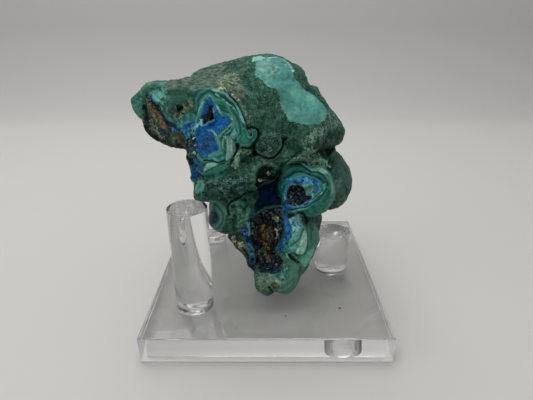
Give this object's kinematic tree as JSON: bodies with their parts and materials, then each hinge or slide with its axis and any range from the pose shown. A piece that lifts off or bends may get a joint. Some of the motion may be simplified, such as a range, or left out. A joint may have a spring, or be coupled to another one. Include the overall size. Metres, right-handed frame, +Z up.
{
  "type": "malachite specimen on a peg stand",
  "caption": "Rounded green malachite cluster with broken blue azurite faces, resting on a clear square plate with round pegs.",
  "frame": {"origin": "centre of the base plate's underside, on the surface the stand rests on", "axes": "+Z up; -Y towards the viewer, the side the broken faces look; +X to the viewer's right, the short peg's side"},
  "size_m": [0.0766, 0.0762, 0.0851],
  "materials": {
    "malachite": "matt crust with silky broken faces",
    "acrylic": "clear polished acrylic"
  },
  "bodies": {
    "root": {"stone": "malachite", "base_plate": "acrylic", "peg_front_left": "acrylic", "peg_back_left": "acrylic", "peg_right": "acrylic"}
  },
  "joints": []
}
